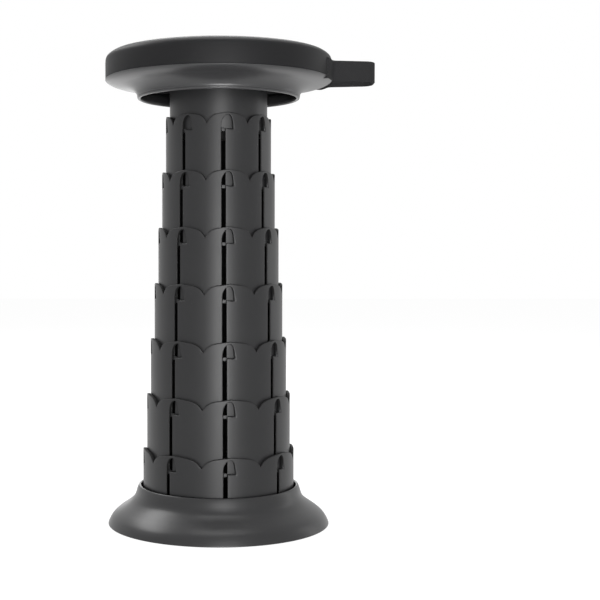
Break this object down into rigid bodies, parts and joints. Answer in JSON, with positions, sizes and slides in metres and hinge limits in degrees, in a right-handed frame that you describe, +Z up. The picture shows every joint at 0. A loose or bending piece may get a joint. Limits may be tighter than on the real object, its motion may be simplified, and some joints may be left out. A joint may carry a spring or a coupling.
{
  "type": "collapsible telescopic stool",
  "caption": "Round telescopic stool: nested scalloped tubes slide up out of a flared base under a flat round seat with a webbing carry strap.",
  "frame": {"origin": "on the floor, on the common axis of the tubes, at the middle of the centre pad's underside", "axes": "+Z up along the tubes, +X towards the carry strap, -Y the front"},
  "size_m": [0.261, 0.218, 0.45],
  "materials": {
    "seat": "fine matte moulded texture",
    "medallion": "satin moulded",
    "plug": "satin moulded",
    "tray": "satin",
    "tube": "satin moulded",
    "base": "satin",
    "plate": "matte",
    "strap": "woven webbing",
    "rubber": "matte",
    "steel": "zinc plated"
  },
  "bodies": {
    "base": {"base_shell": "base", "base_plate": "plate", "base_screw_1": "steel", "base_screw_2": "steel", "base_screw_3": "steel", "base_screw_4": "steel", "foot_pad_1": "rubber", "foot_pad_2": "rubber", "foot_pad_3": "rubber", "foot_pad_4": "rubber", "foot_pad_5": "rubber", "foot_pad_6": "rubber", "centre_pad": "rubber", "scalloped_tube_7": "tube"},
    "tier_6": {"scalloped_tube_6": "tube"},
    "tier_5": {"scalloped_tube_5": "tube"},
    "tier_4": {"scalloped_tube_4": "tube"},
    "tier_3": {"scalloped_tube_3": "tube"},
    "tier_2": {"scalloped_tube_2": "tube"},
    "tier_1": {"scalloped_tube_1": "tube"},
    "seat": {"seat_cover": "seat", "seat_medallion": "medallion", "seat_plug_1": "plug", "seat_plug_2": "plug", "seat_plug_3": "plug", "seat_plug_4": "plug", "seat_screw_1": "steel", "seat_screw_2": "steel", "seat_screw_3": "steel", "seat_screw_4": "steel", "seat_tray": "tray", "top_tube": "tube", "carry_strap": "strap", "strap_pin_1": "steel", "strap_pin_2": "steel"}
  },
  "joints": [
    {"name": "tier_6_slide", "type": "slide", "parent": "base", "child": "tier_6", "axis": [0, 0, 1], "range_m": [-0.0526, 0]},
    {"name": "tier_5_slide", "type": "slide", "parent": "tier_6", "child": "tier_5", "axis": [0, 0, 1], "range_m": [-0.0526, 0]},
    {"name": "tier_4_slide", "type": "slide", "parent": "tier_5", "child": "tier_4", "axis": [0, 0, 1], "range_m": [-0.0526, 0]},
    {"name": "tier_3_slide", "type": "slide", "parent": "tier_4", "child": "tier_3", "axis": [0, 0, 1], "range_m": [-0.0526, 0]},
    {"name": "tier_2_slide", "type": "slide", "parent": "tier_3", "child": "tier_2", "axis": [0, 0, 1], "range_m": [-0.0526, 0]},
    {"name": "tier_1_slide", "type": "slide", "parent": "tier_2", "child": "tier_1", "axis": [0, 0, 1], "range_m": [-0.0526, 0]},
    {"name": "seat_slide", "type": "slide", "parent": "tier_1", "child": "seat", "axis": [0, 0, 1], "range_m": [-0.0526, 0]}
  ]
}
